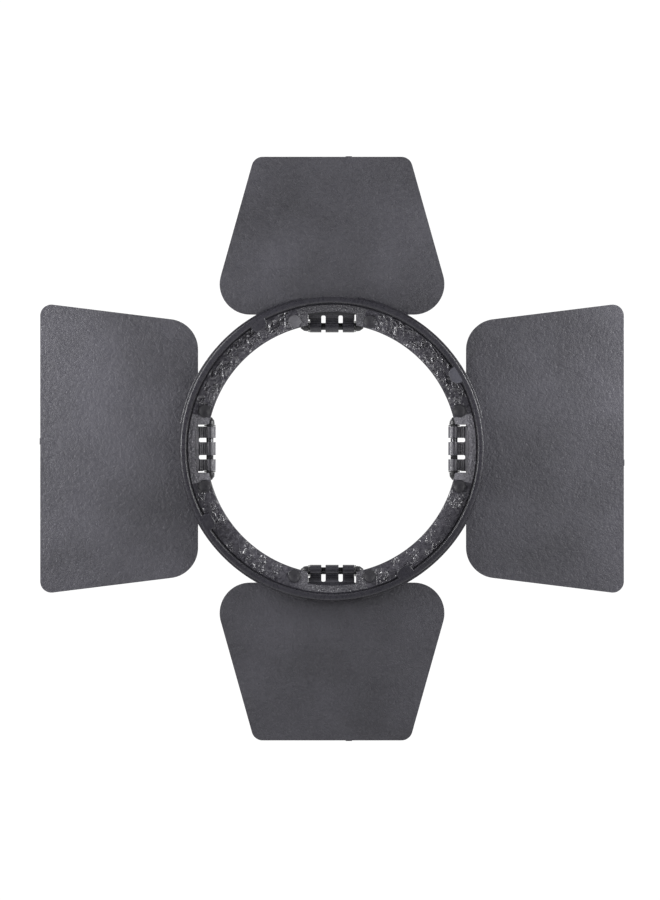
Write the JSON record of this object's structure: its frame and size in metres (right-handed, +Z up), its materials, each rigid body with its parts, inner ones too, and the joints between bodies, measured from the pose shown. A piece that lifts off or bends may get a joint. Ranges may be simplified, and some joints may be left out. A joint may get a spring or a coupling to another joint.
{
  "type": "barn door attachment",
  "caption": "Round bayonet ring for a small lamp, with hinged light-shaping leaves on friction pins that fold forward round the beam.",
  "frame": {"origin": "centre of the ring on its stop plane, where the stop lip meets the lamp's rim; the plugged-in spigot is on the -Y side", "axes": "+Y along the optical axis, the way the light leaves; +Z up towards the top leaf; +X to the right as seen from the lamp"},
  "size_m": [0.1954, 0.0114, 0.1954],
  "materials": {
    "ring_plastic": "black glass-filled moulded plastic: satin walls, rough recessed floor with glossy flow marks",
    "leaf_plastic": "dark grey moulded plastic with a fine spark-eroded grain",
    "pin_steel": "blackened bright steel",
    "clamp_plastic": "satin black moulded plastic",
    "screw_steel": "black zinc-plated steel",
    "washer_nylon": "black nylon"
  },
  "bodies": {
    "ring": {"ring_body": "ring_plastic", "hinge_pin_top": "pin_steel", "hinge_pin_right": "pin_steel", "hinge_pin_bottom": "pin_steel", "hinge_pin_left": "pin_steel", "pin_clamp_top_a": "clamp_plastic", "pin_clamp_top_b": "clamp_plastic", "pin_clamp_right_a": "clamp_plastic", "pin_clamp_right_b": "clamp_plastic", "pin_clamp_bottom_a": "clamp_plastic", "pin_clamp_bottom_b": "clamp_plastic", "pin_clamp_left_a": "clamp_plastic", "pin_clamp_left_b": "clamp_plastic", "clamp_screws_top": "screw_steel", "clamp_screws_right": "screw_steel", "clamp_screws_bottom": "screw_steel", "clamp_screws_left": "screw_steel", "friction_washers_top": "washer_nylon", "friction_washers_right": "washer_nylon", "friction_washers_bottom": "washer_nylon", "friction_washers_left": "washer_nylon"},
    "top_leaf": {"leaf_top": "leaf_plastic"},
    "right_leaf": {"leaf_right": "leaf_plastic"},
    "bottom_leaf": {"leaf_bottom": "leaf_plastic"},
    "left_leaf": {"leaf_left": "leaf_plastic"}
  },
  "joints": [
    {"name": "top_leaf_hinge", "type": "hinge", "parent": "ring", "child": "top_leaf", "pos_m": [0, 0.00385, 0.0408], "axis": [-1, 0, 0], "range_deg": [0, 174]},
    {"name": "right_leaf_hinge", "type": "hinge", "parent": "ring", "child": "right_leaf", "pos_m": [0.0408, 0.00385, 0], "axis": [0, 0, 1], "range_deg": [0, 128]},
    {"name": "bottom_leaf_hinge", "type": "hinge", "parent": "ring", "child": "bottom_leaf", "pos_m": [0, 0.00385, -0.0408], "axis": [1, 0, 0], "range_deg": [0, 180]},
    {"name": "left_leaf_hinge", "type": "hinge", "parent": "ring", "child": "left_leaf", "pos_m": [-0.0408, 0.00385, 0], "axis": [0, 0, -1], "range_deg": [0, 128]}
  ]
}
